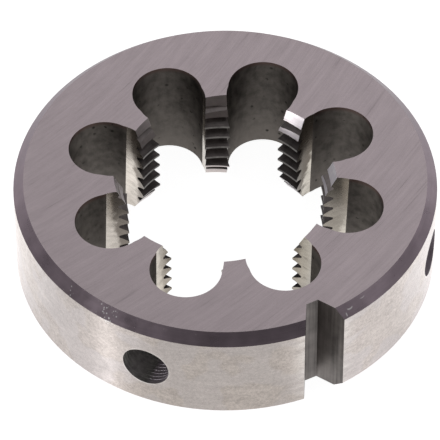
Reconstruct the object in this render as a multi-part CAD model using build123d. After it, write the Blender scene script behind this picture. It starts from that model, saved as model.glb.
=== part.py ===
from build123d import *
import math
import os

# Round threading die, one solid. The axis is Z, z = 0 is the back face and the entry face is
# on top. The adjusting notch faces -Y. Sizes in millimetres, angles in degrees.

# Blank
body_diameter = 65.0
body_height = 18.0
entry_chamfer_width = 1.55
entry_chamfer_height = 1.67
back_chamfer = 1.4

# Thread to be cut: G 1 pipe thread, right-hand, Whitworth form
threads_per_inch = 11
thread_major_diameter = 33.249
thread_angle = 55.0
crest_share = 1 / 6
groove_height_at_x = 1.887

# Chip holes and the ground flanks of the cutting lands
land_count = 8
chip_hole_diameter = 10.96
chip_hole_circle = 39.14
flank_wheel_diameter = 10.62
flank_wheel_circle = 36.36

# Lead-in throats of the lands
entry_throat_diameter = 34.1
entry_throat_angle = 24.3
back_throat_diameter = 34.5
back_throat_angle = 27.5
throat_relief_offset = 1.55

# Adjusting notch
notch_angle = 60.0
notch_floor_width = 1.95
notch_floor_radius = 28.25

# Radial seats of the clamping screws
screw_seat_diameter = 7.4
screw_seat_depth = 5.0
screw_seat_point_angle = 140.0
screw_seat_angle = 49.1

# Sizes that follow
overcut = 1.0
notch_direction = 270.0
body_radius = body_diameter / 2
pitch = 25.4 / threads_per_inch
land_step = 360 / land_count
half_flank = math.radians(thread_angle / 2)
sharp_depth = pitch / (2 * math.tan(half_flank))
thread_depth = sharp_depth * (1 - 2 * crest_share)
root_radius = thread_major_diameter / 2
minor_radius = root_radius - thread_depth
crest_width = pitch * crest_share
groove_sections = 5


def at_polar(radius, angle, height=0.0):
    """Point at a radius, an angle from +X and a height."""
    turn = math.radians(angle)
    return (radius * math.cos(turn), radius * math.sin(turn), height)


def upright_bore(diameter, radius, angle):
    """Cylinder right through the body, parallel to the axis."""
    tall = body_height + 2 * overcut
    return Pos(*at_polar(radius, angle, body_height / 2)) * Cylinder(diameter / 2, tall)


def ring_of(shape, first_angle):
    """Copies of a shape, one for each land step round the axis."""
    return [Rot(Z=first_angle + step * land_step) * shape for step in range(land_count)]


def make_blank():
    """Disc with its rim chamfers and the plain bore, its seam where the notch is cut."""
    entry_flat = body_radius - entry_chamfer_width
    outline = Polyline(
        (minor_radius, 0),
        (body_radius - back_chamfer, 0),
        (body_radius, back_chamfer),
        (body_radius, body_height - entry_chamfer_height),
        (entry_flat, body_height),
        (minor_radius, body_height),
        close=True,
    )
    return Rot(Z=notch_direction) * revolve(Plane.XZ * make_face(outline), Axis.Z)


def make_chip_holes():
    """Drilled chip holes, each opened up by the wheel that grinds the land flanks."""
    tools = []
    for step in range(land_count):
        angle = step * land_step
        tools.append(upright_bore(chip_hole_diameter, chip_hole_circle / 2, angle))
        tools.append(upright_bore(flank_wheel_diameter, flank_wheel_circle / 2, angle))
    return tools


def make_throat(diameter, angle):
    """Cone that opens the throat of a land along +X, downwards from z = 0.

    Its axis is shifted, so that the throat falls away behind the cutting edge.
    """
    radius = diameter / 2
    slope = math.tan(math.radians(angle))
    length = (radius - minor_radius) / slope + overcut
    wide = radius + overcut * slope
    narrow = radius - length * slope
    middle = (overcut - length) / 2
    cone = Pos(0, -throat_relief_offset, middle) * Cone(narrow, wide, length + overcut)
    side = at_polar(body_radius, land_step / 2)
    sector = make_face(Polyline((0, 0), side[:2], (side[0], -side[1]), close=True))
    return cone & extrude(sector, body_height, both=True)


def make_throats():
    """Relieved throats on the entry face and shorter ones on the back face."""
    entry = Pos(Z=body_height) * make_throat(entry_throat_diameter, entry_throat_angle)
    back = Rot(X=180) * make_throat(back_throat_diameter, back_throat_angle)
    return ring_of(entry, land_step / 2) + ring_of(back, land_step / 2)


def make_groove():
    """One thread groove across a land that lies along +X, its middle at z = 0."""
    half_root = crest_width / 2
    half_mouth = (pitch - crest_width) / 2
    profile = Polyline(
        (minor_radius - overcut, -half_mouth),
        (minor_radius, -half_mouth),
        (root_radius, -half_root),
        (root_radius, half_root),
        (minor_radius, half_mouth),
        (minor_radius - overcut, half_mouth),
        close=True,
    )
    section = Plane.XZ * make_face(profile)
    spread = land_step / 2
    turns = [spread * (step / (groove_sections - 1) - 0.5) for step in range(groove_sections)]
    return loft([Pos(Z=pitch * turn / 360) * Rot(Z=turn) * section for turn in turns])


def make_thread():
    """The grooves of the right-hand thread on every land."""
    groove = make_groove()
    tools = []
    for step in range(land_count):
        angle = (step + 0.5) * land_step
        height = (groove_height_at_x + pitch * angle / 360) % pitch
        while height < body_height:
            tools.append(Pos(Z=height) * Rot(Z=angle) * groove)
            height += pitch
    return tools


def make_notch():
    """V notch in the rim with a flat floor, from face to face."""
    reach = body_radius + overcut
    half_floor = notch_floor_width / 2
    half_mouth = half_floor + (reach - notch_floor_radius) * math.tan(math.radians(notch_angle / 2))
    outline = Polyline(
        (notch_floor_radius, -half_floor),
        (reach, -half_mouth),
        (reach, half_mouth),
        (notch_floor_radius, half_floor),
        close=True,
    )
    prism = extrude(Pos(Z=-overcut) * make_face(outline), body_height + 2 * overcut)
    return Rot(Z=notch_direction) * prism


def make_screw_seats():
    """Two blind radial holes with drill points, either side of the notch at mid height."""
    radius = screw_seat_diameter / 2
    point_depth = radius / math.tan(math.radians(screw_seat_point_angle / 2))
    floor = body_radius - screw_seat_depth
    outline = Polyline(
        (floor - point_depth, 0),
        (floor, radius),
        (body_radius + overcut, radius),
        (body_radius + overcut, 0),
        close=True,
    )
    seat = Pos(Z=body_height / 2) * revolve(make_face(outline), Axis.X)
    return [Rot(Z=notch_direction + side * screw_seat_angle) * seat for side in (-1, 1)]


die = make_blank()
die -= make_chip_holes()
die -= make_throats()
die -= [make_notch()] + make_screw_seats()
die -= make_thread()

os.makedirs("parts", exist_ok=True)
export_step(die, "parts/threading_die.step")
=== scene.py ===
"""Finishes, tool marks and studio for a round threading die, laid out as an add-on."""

import math

import bpy
from mathutils import Matrix, Vector


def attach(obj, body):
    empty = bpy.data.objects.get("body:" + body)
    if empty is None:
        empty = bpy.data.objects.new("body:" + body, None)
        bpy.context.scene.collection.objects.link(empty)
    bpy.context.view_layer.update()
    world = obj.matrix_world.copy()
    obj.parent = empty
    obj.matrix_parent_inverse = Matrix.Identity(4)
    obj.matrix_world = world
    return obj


bl_info = {
    "name": "Round Threading Die",
    "version": (1, 0, 0),
    "blender": (4, 5, 0),
    "location": "3D View > Sidebar > Threading Die",
    "description": "Finishes a round threading die and sets up its studio",
    "category": "Object",
}

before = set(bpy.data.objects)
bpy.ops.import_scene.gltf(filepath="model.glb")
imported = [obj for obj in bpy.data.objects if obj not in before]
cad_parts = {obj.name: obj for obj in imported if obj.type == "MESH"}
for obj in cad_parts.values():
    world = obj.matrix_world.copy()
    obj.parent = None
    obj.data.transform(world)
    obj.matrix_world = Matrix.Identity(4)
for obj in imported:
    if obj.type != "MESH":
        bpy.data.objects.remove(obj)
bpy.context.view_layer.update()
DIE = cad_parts["threading_die"]
BODY = "root"
MM = 0.001

# Headings in degrees: the camera's right hand, straight away from the camera, the middle of the
# pale wall, the front of the floor, and the lands whose throats get the painted lit tone
RIGHT = -27.2
BACK = 62.8
PALE_WALL = 63.8
FLOOR_FRONT = 239.8
LIT_THROAT_HEADING = -20.0

# Soft boxes: name, azimuth and elevation in degrees, distance, width, height in metres, level
LAMPS = (
    ("left_strip", 188.2, 4.0, 1.0, 0.08, 0.14, 72.0),
    ("right_strip", 305.8, 4.0, 1.2, 0.5, 0.17, 4.6),
)

# The floor's light as the steel mirrors it: how far ahead or away, two limits, two levels there
FLOOR_ZONES = (
    ("ahead", 0.88, 0.94, 1.0, 0.74),
    ("ahead", 0.0, 0.5, 1.4, 0.89),
    ("ahead", -0.8, -0.3, 0.5, 1.0),
    ("away", 0.045, 0.08, 0.95, 0.5),
    ("away", 0.08, 0.25, 1.05, 0.52),
)
# Outside the die it is lighter on the right by a share, warm in front and full under the bore
FLOOR_OUTSIDE = (0.045, 0.06)
FLOOR_LEAN = 0.18
FLOOR_WARM = (0.85, 0.95)
FLOOR_UNDER_BORE = 0.03

# Soft limits of the room's parts, as shares of a unit direction
WALL_SPREAD = (0.25, 0.75)
WALL_TOP = (0.90, 0.80)
WALL_SHADOW = (0.795, 0.752)
GREY_SPREAD = (0.45, 0.1)
GREY_TOP = (0.75, 0.55)
OVERHEAD_EDGE = (0.91, 0.96)
# Slope and level of the pale wall's shadow, and how far the grey walls lean to the right
SHADOW_SLOPE = 0.46
SHADOW_LEVEL = 0.6
GREY_LEAN = 0.25

# The wheel that grinds the end faces: its centre beside the die and its radius
FACE_WHEEL = (-50.4 * MM, 119.8 * MM)
FACE_WHEEL_RADIUS = 130.0 * MM

# Slant of the flanks' grinding lines in degrees, and the radius that lays them round the axis
FLANK_SLANT = 28.0
FLANK_RADIUS = 20.0 * MM

# Nicks on the rim's upper edge: arc from the notch, height and reach, in millimetres
RIM_NICKS = ((-34.6, 17.2, 2.2), (-42.0, 16.6, 1.3))
# How far in from the rim they lie on the chamfer
NICK_INSET = 0.5 * MM

# Knocks on the chamfer: arc from the notch, height, half length, half width, in millimetres,
# then how sharply they bend and how much they show
CHAMFER_KNOCKS = ((4.9, 17.15, 0.6, 0.13), (4.0, 16.75, 0.12, 0.3), (7.6, 17.5, 0.5, 0.05))
KNOCK_CURVE = 0.4 / MM
KNOCK_SHARE = 0.8

# Arcs beside the notch where the rubbed rim and its painted highlight are full and gone, and how much
# they show
RUBBED_AND_HIGHLIT_ARCS = (3.0 * MM, 6.0 * MM)
RUBBED_AND_HIGHLIT_SHARE = 0.5

# How far outside a seat its painted highlight ring is full and gone, and how much it shows
MOUTH_HIGHLIGHT_RING = (0.1 * MM, 0.35 * MM)
MOUTH_HIGHLIGHT_SHARE = 0.6

# The painted lit part of the seats, a lighter tone where light falls on them, begins between these
# arcs from the left seat's middle
LIT_SEAT_EDGE = (-0.2 * MM, 1.0 * MM)

# Tints, each as shares of a finish's own red, green and blue
OIL_FILM = (0.95, 0.935, 0.905)
LIP_RUST = (0.95, 0.62, 0.6)
# The run-out tint also darkens the painted dark reflection beside the teeth
RUN_OUT_AND_REFLECTION = (0.22, 0.20, 0.185)

# How facets are told apart: nearness in metres and shares of a unit normal
CLOSE = 0.06 * MM
FLAT_RISE = 0.98
FACING = 0.9
SLOPE_RISE = (0.3, 0.6)
CREST_RISE = 0.1
WALL_RISE = 0.05
# Share of a seat's radius that stays seat where the rim reaches its mouth
SEAT_CORE = 0.9

# Sides of a drill ridge's circle and of its profile
RING_SIDES = 64
RIDGE_SIDES = 8


# -------------------------------- properties


def number(name, description, default, **settings):
    """A number, with settings of its own."""
    return bpy.props.FloatProperty(name=name, description=description, default=default, **settings)


def length(name, description, millimetres):
    """A length in metres with its default given in millimetres."""
    return number(name, description, millimetres * MM, unit="LENGTH", precision=5)


def angle(name, description, degrees):
    """An angle in radians with its default given in degrees."""
    return number(name, description, math.radians(degrees), subtype="ANGLE")


def count(name, description, default):
    """A whole number."""
    return bpy.props.IntProperty(name=name, description=description, default=default)


def colour(name, description, default):
    """A linear colour."""
    return bpy.props.FloatVectorProperty(
        name=name, description=description, default=default, size=3, min=0, max=1, subtype="COLOR"
    )


class DieSizes(bpy.types.PropertyGroup):
    """Sizes by which the surfaces of the die are told apart."""

    rim_radius: length("Rim radius", "Radius of the ground rim", 32.5)
    height: length("Height", "Distance between the two faces", 18.0)
    chamfer: length("Chamfer", "Radial width of the rim chamfers", 1.7)
    hole_count: count("Chip holes", "Holes round the bore", 8)
    hole_circle: length("Hole circle", "Distance from the axis to a chip hole's axis", 19.57)
    hole_radius: length("Hole radius", "Radius of a drilled chip hole", 5.48)
    wheel_circle: length("Wheel circle", "Distance from the axis to the flank wheel's axis", 18.18)
    wheel_radius: length("Wheel radius", "Radius of the wheel that grinds the flanks", 5.31)
    notch_floor: length("Notch floor", "Distance from the axis to the notch floor", 28.25)
    seat_radius: length("Seat radius", "Radius of a clamping screw seat", 3.7)
    seat_floor: length("Seat floor", "Distance from the axis to a seat's point", 26.1)
    seat_depth: length("Seat depth", "Depth of a seat's straight wall", 5.0)
    seat_angle: angle("Seat angle", "Angle from the notch to a screw seat", 49.1)
    ridge_count: count("Ridges", "Drill ridges in a seat", 7)
    ridge_pitch: length("Ridge pitch", "Distance between two drill ridges", 0.63)
    ridge_size: length("Ridge size", "Radius of a drill ridge", 0.045)
    thread_root: length("Thread root", "Radius at the roots of the thread", 16.62)
    thread_pitch: length("Thread pitch", "Rise of the thread in one turn", 2.309)
    groove_start: length("Groove start", "Height of a groove on the X axis", 1.887)
    tooth_depth: length("Tooth depth", "From the roots to where the crests begin", 1.2)
    # The thread is lighter from the entry face down to these depths
    entry_start: length("Entry start", "Depth where the cleaner entry ends", 4.2)
    entry_full: length("Entry full", "Depth down to which it is full", 2.6)
    lip: length("Lip", "Depth of the rust at the mouths of the chip holes", 1.2)


class DieFinish(bpy.types.PropertyGroup):
    """Colours of the bare steel as each step of the making leaves it, with a few painted lit tones
    and highlights among them.
    """

    face: colour("Ground face", "Flat ground end faces", (0.485, 0.42, 0.435))
    rim: colour("Ground rim", "Cylindrically ground rim", (0.60, 0.55, 0.535))
    chamfer: colour("Rim chamfer", "Turned and hardened chamfer", (0.37, 0.30, 0.34))
    drilled: colour("Drilled wall", "Drilled and hardened chip hole wall", (0.125, 0.113, 0.103))
    flank: colour("Ground flank", "Wheel-ground cutting face", (0.57, 0.525, 0.475))
    heel: colour("Heel flank", "Rough-ground heel of a land", (0.56, 0.52, 0.46))
    thread: colour("Thread", "Cut and hardened thread", (0.15, 0.135, 0.13))
    crest: colour("Thread crest", "Crest of a tooth, left dark", (0.10, 0.093, 0.088))
    throat: colour("Throat", "Ground throat of a land", (0.43, 0.375, 0.36))
    # Lit throat colour: painted light, a lighter copy of the throat for the lands on one side of the
    # bore
    lit_throat: colour("Satin throat", "Throat left satin by the grinding", (0.95, 0.88, 1.0))
    notch: colour("Notch", "Milled and hardened notch", (0.165, 0.15, 0.143))
    seat: colour("Screw seat", "Drilled screw seat", (0.40, 0.40, 0.375))
    # Lit seat colour: painted light on the seats, not a finish of their own
    lit_seat: colour("Swept seat", "Part of the seats that is swept clean", (0.44, 0.395, 0.43))
    # Rubbed rim colour: rubbed streaks with a painted highlight beside the notch
    rubbed_and_highlit: colour("Rubbed rim", "Rim rubbed bright beside the notch", (0.86, 0.82, 0.78))
    # Seat mouth colour: a painted highlight where each seat's edge catches the light
    mouth: colour("Seat mouth", "Bright ring round a seat's mouth", (0.85, 0.82, 0.8))
    nick: colour("Nick", "Fresh steel in a nick of the rim", (0.88, 0.86, 0.86))
    knock: colour("Knock", "Fresh steel in a knock of the chamfer", (0.95, 0.93, 0.93))


class StudioSettings(bpy.types.PropertyGroup):
    """Camera and light of the studio."""

    camera_azimuth: angle("Camera azimuth", "Turn of the camera round the die", RIGHT)
    camera_elevation: angle("Camera elevation", "Height of the camera above the horizon", 48.7422)
    camera_roll: angle("Camera roll", "Tilt of the camera about its own axis", -0.172)
    camera_distance: length("Camera distance", "From the camera to its target", 669.665)
    camera_target: bpy.props.FloatVectorProperty(
        name="Camera target",
        description="Point at which the camera looks",
        default=(-0.0047461, -0.0074399, 0.018),
        size=3,
        subtype="TRANSLATION",
    )
    lens: number("Focal length", "Focal length in millimetres", 361.02)
    surround: number("Surround", "Light of the dark part of the studio", 0.14)
    overhead: number("Overhead", "Light of the ceiling right above the die", 0.4)
    sides: number("Sides", "Light of the grey walls at the sides", 0.14)
    backdrop: number("Backdrop", "Light of the pale wall behind the die", 0.56)
    paper: number("Paper", "Share of light that the floor scatters", 0.6)
    floor_white: number("Floor white", "Level of the floor as the camera sees it", 0.93)
    room: colour("Room tint", "Tint of the room's light", (1, 0.98, 1))
    warmth: colour("Floor tint", "Tint of the floor's mirrored front", (1, 0.985, 0.93))


GROUPS = {"die_sizes": DieSizes, "die_finish": DieFinish, "die_studio": StudioSettings}


# -------------------------------- shader helpers


class Nodes:
    """Adds and links the nodes of one tree."""

    def __init__(self, tree):
        self.tree = tree
        tree.nodes.clear()

    def add(self, kind, inputs=(), **settings):
        """A node with its settings and inputs; an input is a value or another socket."""
        node = self.tree.nodes.new(kind)
        for key, value in settings.items():
            setattr(node, key, value)
        for key, value in dict(inputs).items():
            if isinstance(value, bpy.types.NodeSocket):
                self.tree.links.new(value, node.inputs[key])
            else:
                node.inputs[key].default_value = value
        return node

    def result(self, kind, inputs=(), **settings):
        """The first output of a new node."""
        return self.add(kind, inputs, **settings).outputs[0]

    def send(self, node, **values):
        """Links values to a node's inputs by name."""
        for name, value in values.items():
            self.tree.links.new(value, node.inputs[name])

    def math(self, operation, first, second=0.0, third=0.0, clamp=False):
        """The result of one sum."""
        return self.result(
            "ShaderNodeMath", {0: first, 1: second, 2: third}, operation=operation, use_clamp=clamp
        )

    def product(self, first, *others):
        """Several values multiplied."""
        for other in others:
            first = self.math("MULTIPLY", first, other)
        return first

    def vector(self, operation, first, second=(0, 0, 0)):
        """The vector result of one vector sum."""
        return self.result("ShaderNodeVectorMath", {0: first, 1: second}, operation=operation)

    def scalar(self, operation, first, second=(0, 0, 0)):
        """The number that a vector sum gives."""
        node = self.add("ShaderNodeVectorMath", {0: first, 1: second}, operation=operation)
        return node.outputs["Value"]

    def remap(self, value, low, high, to_low, to_high, **settings):
        """A value spread from one range to another, held at the ends."""
        ends = {"From Min": low, "From Max": high, "To Min": to_low, "To Max": to_high}
        return self.result("ShaderNodeMapRange", {"Value": value, **ends}, **settings)

    def step(self, value, low, high):
        """A soft step from 0 at one value to 1 at the other."""
        return self.remap(value, low, high, 0.0, 1.0, interpolation_type="SMOOTHSTEP")

    def parts(self, vector):
        """The X, Y and Z of a vector."""
        return self.add("ShaderNodeSeparateXYZ", {"Vector": vector}).outputs

    def join(self, x, y, z=0.0):
        """A vector of three numbers."""
        return self.result("ShaderNodeCombineXYZ", {"X": x, "Y": y, "Z": z})

    def mix(self, factor, first, second):
        """Two colours mixed."""
        sockets = {0: factor, 6: first, 7: second}
        return self.add("ShaderNodeMix", sockets, data_type="RGBA").outputs[2]

    def noise(self, vector, scale, detail=2.0, roughness=0.5):
        """Noise about 0.5."""
        inputs = {"Vector": vector, "Scale": scale, "Detail": detail, "Roughness": roughness}
        return self.result("ShaderNodeTexNoise", inputs)

    def cells(self, vector, scale):
        """Scattered cells, each with its distance and its colour."""
        return self.add("ShaderNodeTexVoronoi", {"Vector": vector, "Scale": scale}).outputs


def new_group(name, outputs, **inputs):
    """An empty shader node group: numbers and vectors go in by name, and numbers come out."""
    group = bpy.data.node_groups.new(name, "ShaderNodeTree")
    for key, value in inputs.items():
        kind = "NodeSocketVector" if isinstance(value, tuple) else "NodeSocketFloat"
        socket = group.interface.new_socket(key, in_out="INPUT", socket_type=kind)
        socket.default_value = value
    for key in outputs:
        group.interface.new_socket(key, in_out="OUTPUT", socket_type="NodeSocketFloat")
    nodes = Nodes(group)
    entry = nodes.add("NodeGroupInput")
    leave = nodes.add("NodeGroupOutput")
    return nodes, entry.outputs, leave


def make_scratch_lines():
    """Fine streaks along X of a pattern space, and the slow drift among them."""
    nodes, given, leave = new_group(
        "scratch lines", ["Lines", "Drift"], Place=(0, 0, 0), Spacing=0.3 * MM, Length=6.0 * MM
    )
    across = nodes.math("DIVIDE", 1.0, given["Spacing"])
    along = nodes.math("DIVIDE", 1.0, given["Length"])
    stretched = nodes.vector("MULTIPLY", given["Place"], nodes.join(along, across, across))
    fine = nodes.noise(stretched, 1.0, 2.0, 0.55)
    coarse = nodes.noise(nodes.vector("MULTIPLY", stretched, (0.8, 0.22, 0.22)), 1.0, 1.0)
    both = nodes.math("MULTIPLY_ADD", coarse, 0.45, nodes.product(fine, 0.55))
    nodes.send(leave, Lines=both, Drift=coarse)
    return nodes.tree


def make_mottle():
    """Cloudy patches of heat-treated or handled steel, with small dark pits."""
    nodes, given, leave = new_group(
        "steel mottle", ["Cloud", "Pits"], Place=(0, 0, 0), Patch=3.0 * MM, Pit=2.0 * MM
    )
    patch = nodes.math("DIVIDE", 1.0, given["Patch"])
    cloud = nodes.noise(given["Place"], patch, 4.0, 0.6)
    cells = nodes.cells(given["Place"], nodes.math("DIVIDE", 1.0, given["Pit"]))
    rare = nodes.noise(given["Place"], nodes.product(patch, 1.7), 1.0)
    dots = nodes.remap(cells["Distance"], 0.10, 0.24, 1.0, 0.0)
    pits = nodes.product(dots, nodes.remap(rare, 0.50, 0.58, 0.0, 1.0))
    nodes.send(leave, Cloud=cloud, Pits=pits)
    return nodes.tree


def make_run_out():
    """Dark marks beside the teeth: a stain wedge where each groove runs out, and a cloud of painted
    dark reflection.
    """
    nodes, given, leave = new_group(
        "thread run-out",
        ["Stain"],
        Place=(0, 0, 0),
        Root=16.0 * MM,
        Pitch=2.0 * MM,
        Start=0.0,
        Wedges=1.0,
        Clouds=1.0,
        Reach=4.0 * MM,
    )
    sway = 0.9 * MM
    wander = nodes.noise(given["Place"], 900.0, 2.0)
    wander = nodes.math("MULTIPLY_ADD", wander, sway, -sway / 2)
    parts = nodes.parts(given["Place"])
    radius = nodes.scalar("LENGTH", nodes.join(parts["X"], parts["Y"]))
    away = nodes.math("ADD", nodes.math("SUBTRACT", radius, given["Root"]), wander)

    # Each groove's run-out: a wedge that narrows and climbs as it leaves the bore
    wedge_reach, climb = 3.6 * MM, 0.4
    turn = nodes.math("DIVIDE", nodes.math("ARCTAN2", parts["Y"], parts["X"]), math.tau)
    height = nodes.math("SUBTRACT", nodes.math("SUBTRACT", parts["Z"], given["Start"]), wander)
    climbed = nodes.math("SUBTRACT", height, nodes.product(away, climb))
    phase = nodes.math("SUBTRACT", nodes.math("DIVIDE", climbed, given["Pitch"]), turn)
    wave = nodes.math("COSINE", nodes.product(phase, math.tau))
    near = nodes.remap(away, 0.0, wedge_reach, 1.0, 0.0)
    width = nodes.math("MULTIPLY_ADD", near, 0.9, wave)
    broken = nodes.step(nodes.noise(given["Place"], 640.0, 3.0, 0.6), 0.40, 0.58)
    wedge = nodes.product(
        nodes.step(width, 0.7, 1.7), nodes.step(near, 0.0, 0.8), broken, given["Wedges"]
    )

    # The cloud is painted dark reflection: it reaches furthest at the entry face and fades on the
    # lands at the front
    cloud = nodes.noise(given["Place"], 520.0, 4.0, 0.65)
    reach = nodes.product(nodes.remap(parts["Z"], 3.0 * MM, 17.0 * MM, 0.06, 1.05), given["Reach"])
    inside = nodes.math("SUBTRACT", nodes.math("MULTIPLY_ADD", cloud, 2.4 * MM, reach), away)
    faded = nodes.remap(parts["Y"], -10.0 * MM, -3.0 * MM, 0.45, 1.0)
    dark = nodes.product(nodes.step(inside, 0.8 * MM, 1.7 * MM), faded, given["Clouds"])
    stain_and_reflection = nodes.math("MAXIMUM", wedge, dark, clamp=True)
    nodes.send(leave, Stain=stain_and_reflection)
    return nodes.tree


def make_nicks():
    """Small bright dents, close together round one place."""
    nodes, given, leave = new_group(
        "edge nicks",
        ["Nicks"],
        Place=(0, 0, 0),
        Centre=(0, 0, 0),
        Reach=2.0 * MM,
        Size=0.17 * MM,
    )
    away = nodes.scalar("DISTANCE", given["Place"], given["Centre"])
    near = nodes.math("SUBTRACT", 1.0, nodes.math("DIVIDE", away, given["Reach"]), clamp=True)
    cells = nodes.cells(given["Place"], nodes.math("DIVIDE", 0.5, given["Size"]))
    tone = nodes.parts(cells["Color"])["X"]
    dots = nodes.step(cells["Distance"], 0.42, 0.28)
    few = nodes.step(nodes.math("MULTIPLY_ADD", near, 0.9, tone), 0.98, 1.08)
    nodes.send(leave, Nicks=nodes.product(dots, few))
    return nodes.tree


def scaled(colour, share=1.0):
    """A colour times one share, or times one for each of its three parts, with its alpha."""
    shares = share if isinstance(share, tuple) else (share,) * 3
    return (*(min(part * each, 1.0) for part, each in zip(colour, shares)), 1)


class Steel:
    """One steel finish: its material, its shader and the effects placed in it."""

    def __init__(self, name, marks, metallic=1.0, anisotropy=0.0, edge_tint=1.0):
        self.marks = marks
        self.material = bpy.data.materials.new(name)
        self.material.use_nodes = True
        self.nodes = Nodes(self.material.node_tree)
        tint = (edge_tint, edge_tint, edge_tint, 1)
        inputs = {"Metallic": metallic, "Anisotropic": anisotropy, "Specular Tint": tint}
        self.shader = self.nodes.add("ShaderNodeBsdfPrincipled", inputs)
        self.nodes.add("ShaderNodeOutputMaterial", {"Surface": self.shader.outputs[0]})
        self.place = self.nodes.add("ShaderNodeTexCoord").outputs["Object"]

    def effect(self, mark, **inputs):
        """A shared effect with this finish's own values."""
        return self.nodes.add("ShaderNodeGroup", inputs, node_tree=self.marks[mark]).outputs

    def streaks(self, place, spacing, long):
        """Streaks in a pattern space, their spacing and length in millimetres."""
        return self.effect("lines", Place=place, Spacing=spacing * MM, Length=long * MM)["Lines"]

    def clouds(self, patch, place=None):
        """Clouds with patches of that size in millimetres."""
        return self.effect("mottle", Place=place or self.place, Patch=patch * MM)["Cloud"]

    def feed(self, socket, value):
        """Links a value to one of the shader's sockets."""
        self.nodes.tree.links.new(value, self.shader.inputs[socket])

    def roughen(self, pattern, low, high):
        """Roughness between two values, as a pattern runs from dark to light."""
        self.shader.inputs["Roughness"].default_value = (low + high) / 2
        self.feed("Roughness", self.nodes.remap(pattern, 0.3, 0.7, low, high))

    def bump(self, height, depth):
        """Raises the surface by a height pattern of that depth in millimetres."""
        inputs = {"Distance": depth * MM, "Height": height}
        self.feed("Normal", self.nodes.result("ShaderNodeBump", inputs))

    def shade(self, colour, dark, light, *amounts, spread=0.2):
        """A colour between its dark and light shares, by the sum of weighted patterns."""
        total = 0.0
        for pattern, weight in amounts:
            total = self.nodes.math("MULTIPLY_ADD", pattern, weight, total)
        share = sum(weight for pattern, weight in amounts)
        factor = self.nodes.remap(total, (0.5 - spread) * share, (0.5 + spread) * share, 0.0, 1.0)
        return self.nodes.mix(factor, scaled(colour, dark), scaled(colour, light))


# -------------------------------- pattern spaces


def heading(degrees):
    """A level unit vector at an azimuth."""
    return math.cos(math.radians(degrees)), math.sin(math.radians(degrees)), 0.0


def rim_space(steel, sizes):
    """Pattern space round the axis: arc length along the rim from the notch, height, radius."""
    nodes = steel.nodes
    parts = nodes.parts(steel.place)
    turn = nodes.math("ARCTAN2", parts["X"], nodes.product(parts["Y"], -1.0))
    radius = nodes.scalar("LENGTH", nodes.join(parts["X"], parts["Y"]))
    return nodes.join(nodes.product(turn, sizes.rim_radius), parts["Z"], radius)


def face_space(steel):
    """Pattern space of the face wheel: arc length round its centre, distance from it."""
    nodes = steel.nodes
    local = nodes.vector("SUBTRACT", steel.place, (*FACE_WHEEL, 0.0))
    parts = nodes.parts(local)
    turn = nodes.math("ARCTAN2", parts["Y"], parts["X"])
    distance = nodes.scalar("LENGTH", nodes.vector("MULTIPLY", local, (1, 1, 0)))
    return nodes.join(nodes.product(turn, FACE_WHEEL_RADIUS), distance, parts["Z"])


def upright_space(steel):
    """Pattern space whose streaks run along the die's axis."""
    parts = steel.nodes.parts(steel.place)
    return steel.nodes.join(parts["Z"], parts["X"], parts["Y"])


def flank_space(steel):
    """Pattern space whose streaks cross a flank at a slant, as the wheel leaves them."""
    nodes = steel.nodes
    parts = nodes.parts(steel.place)
    radius = nodes.scalar("LENGTH", nodes.join(parts["X"], parts["Y"]))
    cosine, sine = heading(FLANK_SLANT)[:2]
    along = nodes.math("MULTIPLY_ADD", parts["Z"], sine, nodes.product(radius, cosine))
    across = nodes.math("MULTIPLY_ADD", parts["Z"], cosine, nodes.product(radius, -sine))
    turn = nodes.math("ARCTAN2", parts["Y"], parts["X"])
    return nodes.join(along, across, nodes.product(turn, FLANK_RADIUS))


# -------------------------------- finishes


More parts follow.
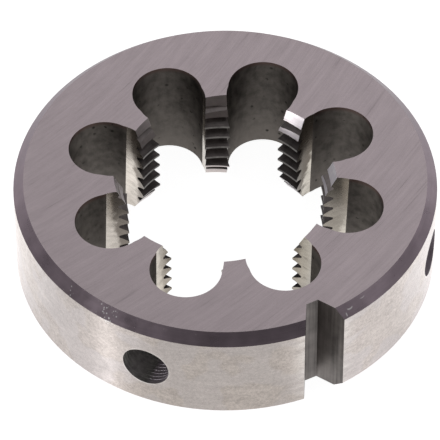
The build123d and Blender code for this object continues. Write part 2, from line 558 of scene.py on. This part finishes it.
class Finishes:
    """Makes each finish of the die, one function to each."""

    def __init__(self, finish, sizes):
        self.finish = finish
        self.sizes = sizes
        self.marks = {
            "lines": make_scratch_lines(),
            "mottle": make_mottle(),
            "run-out": make_run_out(),
            "nicks": make_nicks(),
        }

    def make_all(self):
        """Every finish by its name."""
        made = (
            self.ground_face(),
            self.ground_rim(),
            self.rim_chamfer(),
            self.drilled_wall(),
            # Run-out stain wedges, and clouds of painted dark reflection beside the teeth, for each
            # flank
            self.flank("cutting_face", self.finish.flank, wedges=0.2, clouds=0.8, reach=1.1),
            self.flank("heel_flank", self.finish.heel, wedges=0.7, clouds=0.97, reach=4.8),
            self.cut_thread(),
            self.thread_crest(),
            self.ground_throat(),
            self.milled_notch(),
            self.screw_seat(),
        )
        return {steel.material.name: steel.material for steel in made}

    def ground_face(self):
        """Long curved strokes of the face wheel, a few of them deeper."""
        steel = Steel("ground_face", self.marks)
        place = face_space(steel)
        streaks = steel.streaks(place, 0.28, 7.0)
        hair = steel.streaks(place, 0.13, 5.0)
        spots = steel.clouds(3.5)
        grain = steel.clouds(0.6)
        tone = steel.shade(
            self.finish.face, 0.86, 1.14, (streaks, 0.7), (hair, 0.9), (spots, 0.3), (grain, 0.35)
        )
        cuts = steel.nodes.product(steel.nodes.step(streaks, 0.37, 0.31), 0.5)
        steel.feed("Base Color", steel.nodes.mix(cuts, tone, scaled(self.finish.face, 0.72)))
        steel.roughen(streaks, 0.24, 0.17)
        steel.bump(hair, 0.003)
        return steel

    def ground_rim(self):
        """Fine turns round the rim under a broken film of oil, nicked in places, rubbed beside the
        notch with a painted highlight there, and with a painted highlight round each seat's mouth.
        """
        steel = Steel("ground_rim", self.marks, anisotropy=0.95)
        nodes = steel.nodes
        steel.shader.inputs["Anisotropic Rotation"].default_value = 0.25
        steel.feed("Tangent", nodes.result("ShaderNodeTangent", direction_type="RADIAL", axis="Z"))
        place = rim_space(steel, self.sizes)
        streaks = steel.streaks(place, 0.2, 6.0)
        smears = steel.effect("lines", Place=place, Spacing=1.1 * MM, Length=5.0 * MM)
        spots = steel.clouds(1.9, place)
        grain = steel.clouds(0.42, place)
        wear = ((streaks, 0.5), (smears["Lines"], 0.8), (spots, 0.6), (grain, 1.1))
        dry = steel.shade(self.finish.rim, 0.82, 1.14, *wear, spread=0.12)
        oiled = scaled(self.finish.rim, OIL_FILM)
        film = steel.shade(oiled, 0.82, 1.14, (smears["Lines"], 0.8), (grain, 1.3), spread=0.12)
        tone = nodes.mix(nodes.step(smears["Drift"], 0.46, 0.54), dry, film)

        # Rubbed streaks beside the notch, carrying a painted highlight
        full, gone = RUBBED_AND_HIGHLIT_ARCS
        beside_notch = nodes.step(nodes.math("ABSOLUTE", nodes.parts(place)["X"]), gone, full)
        rubbed_and_highlit = nodes.product(beside_notch, nodes.step(smears["Lines"], 0.36, 0.6), RUBBED_AND_HIGHLIT_SHARE)
        tone = nodes.mix(rubbed_and_highlit, tone, scaled(self.finish.rubbed_and_highlit))
        # Painted highlight round each seat's mouth
        ring = nodes.product(self.mouth_highlight_ring(steel, place), nodes.step(spots, 0.35, 0.6), MOUTH_HIGHLIGHT_SHARE)
        tone = nodes.mix(ring, tone, scaled(self.finish.mouth))
        tone = self.nicked(steel, tone, place, self.sizes.rim_radius, self.finish.nick)
        steel.feed("Base Color", tone)
        steel.roughen(spots, 0.21, 0.29)
        steel.bump(streaks, 0.003)
        return steel

    def mouth_highlight_ring(self, steel, place):
        """A ring round the mouth of each screw seat, as a mask for a painted highlight."""
        nodes, sizes = steel.nodes, self.sizes
        parts = nodes.parts(place)
        beside = nodes.math("ABSOLUTE", parts["X"])
        beside = nodes.math("SUBTRACT", beside, sizes.seat_angle * sizes.rim_radius)
        above = nodes.math("SUBTRACT", parts["Y"], sizes.height / 2)
        away = nodes.scalar("LENGTH", nodes.join(beside, above))
        full, gone = MOUTH_HIGHLIGHT_RING
        return nodes.step(away, sizes.seat_radius + gone, sizes.seat_radius + full)

    def nicked(self, steel, tone, place, radius, bright):
        """A tone with the nicks of the rim's upper edge cut into it, at a radius."""
        for arc, height, reach in RIM_NICKS:
            centre = (arc * MM, height * MM, radius)
            dents = steel.effect("nicks", Place=place, Centre=centre, Reach=reach * MM)
            tone = steel.nodes.mix(dents["Nicks"], tone, scaled(bright))
        return tone

    def rim_chamfer(self):
        """Turned and hardened chamfer, nicked at the edge and knocked beside the notch."""
        steel = Steel("rim_chamfer", self.marks)
        place = rim_space(steel, self.sizes)
        streaks = steel.streaks(place, 0.2, 20.0)
        spots = steel.clouds(4.0, place)
        tone = steel.shade(self.finish.chamfer, 0.8, 1.17, (streaks, 0.6), (spots, 0.8))
        radius = self.sizes.rim_radius - NICK_INSET
        tone = self.nicked(steel, tone, place, radius, self.finish.knock)
        for knock in CHAMFER_KNOCKS:
            mask = self.knock(steel, place, *(size * MM for size in knock))
            tone = steel.nodes.mix(mask, tone, scaled(self.finish.knock))
        steel.feed("Base Color", tone)
        steel.roughen(spots, 0.26, 0.36)
        steel.bump(streaks, 0.004)
        return steel

    def knock(self, steel, place, arc, height, half_length, half_width):
        """A short curved scrape, as a mask."""
        nodes = steel.nodes
        parts = nodes.parts(place)
        along = nodes.math("SUBTRACT", parts["X"], arc)
        across = nodes.math("SUBTRACT", parts["Y"], height)
        across = nodes.math("SUBTRACT", across, nodes.product(along, along, KNOCK_CURVE))
        ends = nodes.step(nodes.math("ABSOLUTE", along), half_length, 0.6 * half_length)
        sides = nodes.step(nodes.math("ABSOLUTE", across), half_width, 0.3 * half_width)
        return nodes.product(ends, sides, KNOCK_SHARE)

    def drilled_wall(self):
        """Drilled and hardened wall: heat clouds, pits, rust at the lip, and painted reflection of
        the floor making it lighter lower down.
        """
        steel = Steel("drilled_wall", self.marks, edge_tint=0.45)
        nodes, drilled, top = steel.nodes, self.finish.drilled, self.sizes.height
        streaks = steel.streaks(upright_space(steel), 0.6, 2.0)
        spots = steel.effect("mottle", Place=steel.place, Patch=1.5 * MM, Pit=1.5 * MM)
        tone = steel.shade(drilled, 0.6, 1.42, (spots["Cloud"], 1.0), (streaks, 0.35), spread=0.13)
        height = nodes.parts(steel.place)["Z"]
        # Painted reflection of the pale floor: lighter towards the bottom of the wall
        low = nodes.remap(height, 0.0, top / 2, 0.5, 0.0)
        tone = nodes.mix(low, tone, scaled(drilled, 1.7))
        lip = nodes.product(nodes.step(height, top - self.sizes.lip, top), 0.75)
        tone = nodes.mix(lip, tone, scaled(drilled, LIP_RUST))
        steel.feed("Base Color", nodes.mix(spots["Pits"], tone, scaled(drilled, 0.3)))
        steel.roughen(spots["Cloud"], 0.54, 0.66)
        steel.bump(spots["Cloud"], 0.03)
        return steel

    def flank(self, name, ground, wedges, clouds, reach):
        """Wheel-ground flank of a land, with run-out stains and painted dark reflection beside the
        teeth; reach in millimetres.
        """
        steel = Steel(name, self.marks)
        streaks = steel.streaks(flank_space(steel), 0.4, 2.4)
        spots = steel.clouds(1.8)
        stain_and_reflection = steel.effect(
            "run-out",
            Place=steel.place,
            Root=self.sizes.thread_root,
            Pitch=self.sizes.thread_pitch,
            Start=self.sizes.groove_start,
            Wedges=wedges,
            Clouds=clouds,
            Reach=reach * MM,
        )["Stain"]
        tone = steel.shade(ground, 0.74, 1.16, (streaks, 1.0), (spots, 0.7))
        steel.feed("Base Color", steel.nodes.mix(stain_and_reflection, tone, scaled(ground, RUN_OUT_AND_REFLECTION)))
        steel.roughen(streaks, 0.3, 0.2)
        steel.bump(streaks, 0.004)
        return steel

    def cut_thread(self):
        """Cut and hardened thread, lined round the bore and lighter in its top few millimetres."""
        steel = Steel("cut_thread", self.marks, edge_tint=0.5)
        nodes, thread, sizes = steel.nodes, self.finish.thread, self.sizes
        spots = steel.clouds(1.2)
        drawn = steel.streaks(rim_space(steel, sizes), 0.22, 4.0)
        inner = steel.shade(thread, 0.5, 1.2, (spots, 1.0), (drawn, 0.8), spread=0.14)
        # A lighter tone for the thread's top few millimetres, mixed in by height
        clean = steel.shade(scaled(thread, 1.7), 0.75, 1.25, (spots, 1.0))
        height = nodes.parts(steel.place)["Z"]
        entry = nodes.step(height, sizes.height - sizes.entry_start, sizes.height - sizes.entry_full)
        steel.feed("Base Color", nodes.mix(entry, inner, clean))
        steel.roughen(spots, 0.28, 0.4)
        steel.bump(drawn, 0.006)
        return steel

    def thread_crest(self):
        """Crest of a tooth, left dark by the hardening."""
        steel = Steel("thread_crest", self.marks)
        spots = steel.clouds(0.8)
        steel.feed("Base Color", steel.shade(self.finish.crest, 0.6, 1.3, (spots, 1.0)))
        steel.roughen(spots, 0.26, 0.36)
        return steel

    def ground_throat(self):
        """Ground lead-in of a land, with a painted lit copy, lighter and less metallic, strongest on
        the lands towards one heading and weaker on the opposite ones.
        """
        steel = Steel("ground_throat", self.marks)
        nodes = steel.nodes
        streaks = steel.streaks(rim_space(steel, self.sizes), 0.22, 5.0)
        spots = steel.clouds(0.9)
        ground = steel.shade(self.finish.throat, 0.75, 1.2, (streaks, 1.0), (spots, 0.5))
        lit_throat = steel.shade(self.finish.lit_throat, 0.72, 1.1, (streaks, 1.0), (spots, 0.8))
        # Painted light: how much of the lighter, less metallic copy each land gets, by which way it
        # faces
        outward = nodes.vector("NORMALIZE", nodes.vector("MULTIPLY", steel.place, (1, 1, 0)))
        toward = nodes.scalar("DOT_PRODUCT", outward, heading(LIT_THROAT_HEADING))
        share = nodes.product(toward, toward, nodes.remap(toward, -0.2, 0.2, 0.3, 0.9))
        steel.feed("Base Color", nodes.mix(share, ground, lit_throat))
        steel.feed("Metallic", nodes.remap(share, 0.0, 1.0, 1.0, 0.1))
        steel.roughen(streaks, 0.40, 0.30)
        steel.bump(streaks, 0.003)
        return steel

    def milled_notch(self):
        """Milled and hardened notch, its lines along the axis."""
        steel = Steel("milled_notch", self.marks)
        streaks = steel.streaks(upright_space(steel), 0.5, 12.0)
        spots = steel.clouds(3.0)
        tone = steel.shade(self.finish.notch, 0.5, 1.45, (streaks, 1.0), (spots, 0.4), spread=0.13)
        steel.feed("Base Color", tone)
        steel.roughen(streaks, 0.32, 0.44)
        steel.bump(streaks, 0.008)
        return steel

    def screw_seat(self):
        """Drilled screw seats, with a painted lit tone from the middle of the left one rightwards."""
        steel = Steel("screw_seat", self.marks, metallic=0.75)
        nodes, sizes = steel.nodes, self.sizes
        spots = steel.clouds(1.2)
        tone = steel.shade(self.finish.seat, 0.65, 1.25, (spots, 1.0))
        # Painted light: a lighter tone from the middle of the left seat rightwards
        arc = nodes.parts(rim_space(steel, sizes))["X"]
        middle = -sizes.seat_angle * sizes.rim_radius
        lit_seat = nodes.step(arc, *(middle + edge for edge in LIT_SEAT_EDGE))
        steel.feed("Base Color", nodes.mix(lit_seat, tone, scaled(self.finish.lit_seat)))
        steel.roughen(spots, 0.44, 0.56)
        steel.bump(spots, 0.01)
        return steel


# -------------------------------- surfaces of the die


def lies_in_seat(centre, radius, sizes):
    """Whether a facet lies on the wall or the point of a clamping screw seat."""
    above = centre.z - sizes.height / 2
    reach = sizes.seat_radius + CLOSE
    if radius > sizes.rim_radius - CLOSE:
        reach = SEAT_CORE * sizes.seat_radius
    for side in (-1, 1):
        turn = -math.pi / 2 + side * sizes.seat_angle
        along = centre.x * math.cos(turn) + centre.y * math.sin(turn)
        across = centre.y * math.cos(turn) - centre.x * math.sin(turn)
        if along > sizes.seat_floor and math.hypot(across, above) < reach:
            return True
    return False


def hole_finish(centre, normal, sizes):
    """The finish of a facet in a chip hole: the drill's wall, or one of the wheel's flanks."""
    step = math.tau / sizes.hole_count
    turn = round(math.atan2(centre.y, centre.x) / step) * step
    turned = centre.x * normal.y - centre.y * normal.x
    side = "heel_flank" if turned < 0 else "cutting_face"
    for name, circle, reach in (
        ("drilled_wall", sizes.hole_circle, sizes.hole_radius),
        (side, sizes.wheel_circle, sizes.wheel_radius),
    ):
        away = Vector((centre.x - circle * math.cos(turn), centre.y - circle * math.sin(turn)))
        if abs(away.length - reach) < CLOSE and away.normalized().dot(normal.xy) < -FACING:
            return name
    return None


def surface_name(centre, normal, sizes):
    """Which finish a facet of the die carries, from where it lies and how it faces."""
    radius = math.hypot(centre.x, centre.y)
    outward = (centre.x * normal.x + centre.y * normal.y) / radius
    rise = abs(normal.z)
    if lies_in_seat(centre, radius, sizes):
        return "screw_seat"
    if rise > FLAT_RISE and min(centre.z, sizes.height - centre.z) < CLOSE:
        return "ground_face"
    if radius > sizes.rim_radius - CLOSE and outward > FACING:
        return "ground_rim"
    if radius > sizes.rim_radius - sizes.chamfer and rise > SLOPE_RISE[0]:
        return "rim_chamfer"
    if radius > sizes.notch_floor - CLOSE:
        return "milled_notch"
    in_hole = hole_finish(centre, normal, sizes) if rise < WALL_RISE else None
    if in_hole:
        return in_hole
    if SLOPE_RISE[0] < rise < SLOPE_RISE[1]:
        return "ground_throat"
    if rise < CREST_RISE and radius < sizes.thread_root - sizes.tooth_depth:
        return "thread_crest"
    return "cut_thread"


# -------------------------------- operators


class DIE_OT_finish_body(bpy.types.Operator):
    """Give each surface of the die body the finish that its making leaves"""

    bl_idname = "die.finish_body"
    bl_label = "Finish Die Body"

    def execute(self, context):
        """Fills the body's material slots and picks one for every facet."""
        sizes = context.scene.die_sizes
        finishes = Finishes(context.scene.die_finish, sizes).make_all()
        mesh = DIE.data
        mesh.materials.clear()
        order = list(finishes)
        for name in order:
            mesh.materials.append(finishes[name])
        found = set()
        for facet in mesh.polygons:
            name = surface_name(facet.center, facet.normal, sizes)
            facet.material_index = order.index(name)
            found.add(name)
        if len(found) < len(order):
            raise RuntimeError("some surfaces of the die were not found")
        return {"FINISHED"}


class DIE_OT_cut_seat_ridges(bpy.types.Operator):
    """Leave the drill's ridges in both clamping screw seats"""

    bl_idname = "die.cut_seat_ridges"
    bl_label = "Cut Seat Ridges"

    def execute(self, context):
        """Makes the rings of both seats as one closed mesh."""
        sizes = context.scene.die_sizes
        tree = self.make_tree()
        values = {
            "Count": sizes.ridge_count,
            "Pitch": sizes.ridge_pitch,
            "Ridge": sizes.ridge_size,
            "Bore": sizes.seat_radius,
            "Inner End": sizes.rim_radius - sizes.seat_depth + sizes.ridge_pitch / 2,
            "Height": sizes.height / 2,
            "Left Turn": -math.pi / 2 - sizes.seat_angle,
            "Right Turn": -math.pi / 2 + sizes.seat_angle,
            "Finish": bpy.data.materials["screw_seat"],
        }
        carrier = bpy.data.objects.new("ridge carrier", bpy.data.meshes.new("ridge carrier"))
        context.scene.collection.objects.link(carrier)
        modifier = carrier.modifiers.new("ridges", "NODES")
        modifier.node_group = tree
        for item in tree.interface.items_tree:
            if item.name in values:
                modifier[item.identifier] = values[item.name]
        carrier.update_tag()
        graph = context.evaluated_depsgraph_get()
        mesh = bpy.data.meshes.new_from_object(carrier.evaluated_get(graph))
        bpy.data.objects.remove(carrier)
        if len(mesh.polygons) == 0:
            raise RuntimeError("the seat ridges came out empty")
        mesh.name = "seat_ridges"
        piece = bpy.data.objects.new("seat_ridges", mesh)
        context.scene.collection.objects.link(piece)
        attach(piece, BODY)
        return {"FINISHED"}

    def make_tree(self):
        """Rings along an axis, turned into each seat."""
        tree = bpy.data.node_groups.new("drill ridges", "GeometryNodeTree")
        tree.is_modifier = True
        kinds = {"Count": "NodeSocketInt", "Finish": "NodeSocketMaterial"}
        lengths = ("Pitch", "Ridge", "Bore", "Inner End", "Height", "Left Turn", "Right Turn")
        tree.interface.new_socket("Geometry", in_out="INPUT", socket_type="NodeSocketGeometry")
        for name in ("Count", *lengths, "Finish"):
            kind = kinds.get(name, "NodeSocketFloat")
            tree.interface.new_socket(name, in_out="INPUT", socket_type=kind)
        tree.interface.new_socket("Geometry", in_out="OUTPUT", socket_type="NodeSocketGeometry")
        nodes = Nodes(tree)
        given = nodes.add("NodeGroupInput").outputs
        round_bore = {"Resolution": RING_SIDES, "Radius": given["Bore"]}
        circle = nodes.result("GeometryNodeCurvePrimitiveCircle", round_bore)
        round_ridge = {"Resolution": RIDGE_SIDES, "Radius": given["Ridge"]}
        profile = nodes.result("GeometryNodeCurvePrimitiveCircle", round_ridge)
        ring = nodes.result("GeometryNodeCurveToMesh", {"Curve": circle, "Profile Curve": profile})
        spacing = {
            "Count": given["Count"],
            "Start Location": nodes.join(0.0, 0.0, given["Inner End"]),
            "Offset": nodes.join(0.0, 0.0, given["Pitch"]),
        }
        line = nodes.result("GeometryNodeMeshLine", spacing)
        rings = nodes.result("GeometryNodeInstanceOnPoints", {"Points": line, "Instance": ring})
        solid = nodes.result("GeometryNodeRealizeInstances", {"Geometry": rings})
        lying = {"Geometry": solid, "Rotation": (0, math.pi / 2, 0)}
        laid = nodes.result("GeometryNodeTransform", lying)
        both = nodes.add("GeometryNodeJoinGeometry")
        lift = nodes.join(0.0, 0.0, given["Height"])
        for turn in ("Left Turn", "Right Turn"):
            swing = nodes.join(0.0, 0.0, given[turn])
            placed = {"Geometry": laid, "Rotation": swing, "Translation": lift}
            nodes.send(both, Geometry=nodes.result("GeometryNodeTransform", placed))
        smooth = nodes.result("GeometryNodeSetShadeSmooth", {"Geometry": both.outputs[0]})
        whole = nodes.result("GeometryNodeRealizeInstances", {"Geometry": smooth})
        finish = {"Geometry": whole, "Material": given["Finish"]}
        finished = nodes.result("GeometryNodeSetMaterial", finish)
        nodes.send(nodes.add("NodeGroupOutput"), Geometry=finished)
        return tree


class DIE_OT_build_studio(bpy.types.Operator):
    """Set up the floor, the light and the camera"""

    bl_idname = "die.build_studio"
    bl_label = "Build Studio"

    def execute(self, context):
        """Makes the stage round the die."""
        settings = context.scene.die_studio
        self.make_floor(context.scene, settings)
        self.make_world(context.scene, settings)
        self.make_lamps(context.scene)
        self.make_camera(context.scene, settings)
        context.scene.view_settings.view_transform = "Standard"
        return {"FINISHED"}

    def make_floor(self, scene, settings):
        """A wide pale floor that keeps a faint shadow."""
        mesh = bpy.data.meshes.new("floor")
        reach = 3.0
        corners = [(-reach, -reach, 0), (reach, -reach, 0), (reach, reach, 0), (-reach, reach, 0)]
        mesh.from_pydata(corners, [], [(0, 1, 2, 3)])
        floor = bpy.data.objects.new("floor", mesh)
        scene.collection.objects.link(floor)
        material = bpy.data.materials.new("pale_floor")
        material.use_nodes = True
        nodes = Nodes(material.node_tree)
        rays = nodes.add("ShaderNodeLightPath").outputs
        place = nodes.add("ShaderNodeTexCoord").outputs["Object"]
        outward = nodes.vector("NORMALIZE", place)
        ahead = nodes.scalar("DOT_PRODUCT", outward, heading(FLOOR_FRONT))
        side = nodes.scalar("DOT_PRODUCT", outward, heading(RIGHT))
        away = nodes.scalar("LENGTH", place)
        measures = {"ahead": ahead, "away": away}
        level = nodes.product(*(nodes.remap(measures[key], *zone) for key, *zone in FLOOR_ZONES))
        lean = nodes.product(nodes.step(away, *FLOOR_OUTSIDE), side)
        level = nodes.product(level, nodes.math("MULTIPLY_ADD", lean, FLOOR_LEAN, 1.0))
        level = nodes.math("MAXIMUM", level, nodes.math("LESS_THAN", away, FLOOR_UNDER_BORE))
        mirrored = nodes.math("MAXIMUM", rays["Is Glossy Ray"], rays["Is Transmission Ray"])
        mirrored = nodes.product(mirrored, level)
        white = nodes.product(rays["Is Camera Ray"], settings.floor_white)
        seen = nodes.math("MAXIMUM", white, mirrored)
        paper = nodes.result("ShaderNodeBsdfDiffuse", {"Color": scaled((settings.paper,) * 3)})
        warm = nodes.math("MULTIPLY", nodes.step(ahead, *FLOOR_WARM), mirrored, clamp=True)
        tint = nodes.mix(warm, (1, 1, 1, 1), scaled(settings.warmth))
        glow = nodes.result("ShaderNodeEmission", {"Color": tint, "Strength": seen})
        both = nodes.result("ShaderNodeAddShader", {0: paper, 1: glow})
        nodes.add("ShaderNodeOutputMaterial", {"Surface": both})
        mesh.materials.append(material)

    def make_world(self, scene, settings):
        """A dim room with a pale wall behind the die, grey walls at the sides and a lit ceiling."""
        world = bpy.data.worlds.new("studio")
        scene.world = world
        world.use_nodes = True
        nodes = Nodes(world.node_tree)
        direction = nodes.add("ShaderNodeTexCoord").outputs["Generated"]
        back = nodes.scalar("DOT_PRODUCT", direction, heading(BACK))
        right = nodes.scalar("DOT_PRODUCT", direction, heading(RIGHT))
        level_way = nodes.vector("NORMALIZE", nodes.vector("MULTIPLY", direction, (1, 1, 0)))
        facing = nodes.scalar("DOT_PRODUCT", level_way, heading(PALE_WALL))
        height = nodes.parts(direction)["Z"]

        # The pale wall, in shadow above a line that rises to the right
        wall = nodes.product(nodes.step(facing, *WALL_SPREAD), nodes.step(height, *WALL_TOP))
        slant = nodes.math("MULTIPLY_ADD", right, -SHADOW_SLOPE, height)
        shaded = nodes.remap(nodes.step(slant, *WALL_SHADOW), 0.0, 1.0, SHADOW_LEVEL, 1.0)
        level = nodes.math(
            "MULTIPLY_ADD", nodes.product(wall, shaded), settings.backdrop, settings.surround
        )

        # The grey walls, a little lighter on the right
        lean = nodes.math("MULTIPLY_ADD", right, -GREY_LEAN, nodes.product(back, -1.0))
        grey = nodes.product(
            nodes.step(lean, *GREY_SPREAD),
            nodes.step(height, *GREY_TOP),
            nodes.math("SUBTRACT", 1.0, wall),
            nodes.math("MULTIPLY_ADD", right, GREY_LEAN, 1.0),
        )
        level = nodes.math("MULTIPLY_ADD", grey, settings.sides, level)
        ceiling = nodes.step(height, *OVERHEAD_EDGE)
        level = nodes.math("MULTIPLY_ADD", ceiling, settings.overhead, level)
        rays = nodes.add("ShaderNodeLightPath").outputs
        level = nodes.math("MAXIMUM", level, rays["Is Camera Ray"])
        light = {"Color": scaled(settings.room), "Strength": level}
        shade = nodes.result("ShaderNodeBackground", light)
        nodes.add("ShaderNodeOutputWorld", {"Surface": shade})

    def make_lamps(self, scene):
        """Soft boxes round the die, each as bright all over as its level says."""
        for name, azimuth, height, distance, width, tall, level in LAMPS:
            lamp = bpy.data.lights.new(name, "AREA")
            lamp.shape = "RECTANGLE"
            lamp.size, lamp.size_y = width, tall
            lamp.energy = 4 * width * tall * level
            holder = bpy.data.objects.new(name, lamp)
            scene.collection.objects.link(holder)
            rise = math.radians(height)
            place = Vector(heading(azimuth)) * math.cos(rise) + Vector((0, 0, math.sin(rise)))
            holder.location = place * distance
            holder.rotation_euler = (-place).to_track_quat("-Z", "Y").to_euler()

    def make_camera(self, scene, settings):
        """The camera, turned, raised and rolled about its target."""
        data = bpy.data.cameras.new("camera")
        data.sensor_width = 36.0
        data.lens = settings.lens
        data.clip_start, data.clip_end = 0.01, 100.0
        camera = bpy.data.objects.new("camera", data)
        scene.collection.objects.link(camera)
        turn = Matrix.Rotation(settings.camera_azimuth, 4, "Z")
        tilt = Matrix.Rotation(math.pi / 2 - settings.camera_elevation, 4, "X")
        roll = Matrix.Rotation(settings.camera_roll, 4, "Z")
        back = Matrix.Translation((0, 0, settings.camera_distance))
        camera.matrix_world = (
            Matrix.Translation(settings.camera_target) @ turn @ tilt @ back @ roll
        )
        scene.camera = camera


class DIE_PT_panel(bpy.types.Panel):
    """Sizes, finishes and studio of the threading die"""

    bl_label = "Threading Die"
    bl_idname = "DIE_PT_panel"
    bl_space_type = "VIEW_3D"
    bl_region_type = "UI"
    bl_category = "Threading Die"

    def draw(self, context):
        """Lists the settings, then the operators."""
        for key, kind in GROUPS.items():
            box = self.layout.box()
            box.label(text=kind.__doc__)
            for name in kind.__annotations__:
                box.prop(getattr(context.scene, key), name)
        for operator in OPERATORS:
            self.layout.operator(operator.bl_idname)


OPERATORS = (DIE_OT_finish_body, DIE_OT_cut_seat_ridges, DIE_OT_build_studio)


def register():
    """Registers the classes and puts the settings on the scene."""
    for kind in (*GROUPS.values(), *OPERATORS, DIE_PT_panel):
        bpy.utils.register_class(kind)
    for key, kind in GROUPS.items():
        setattr(bpy.types.Scene, key, bpy.props.PointerProperty(type=kind))


def unregister():
    """Takes the settings off the scene and unregisters the classes."""
    for key in GROUPS:
        delattr(bpy.types.Scene, key)
    for kind in reversed((*GROUPS.values(), *OPERATORS, DIE_PT_panel)):
        bpy.utils.unregister_class(kind)


def main():
    """Finishes the die, cuts the seat ridges and builds the studio."""
    register()
    bpy.ops.die.finish_body()
    bpy.ops.die.cut_seat_ridges()
    bpy.ops.die.build_studio()


if __name__ == "__main__":
    main()
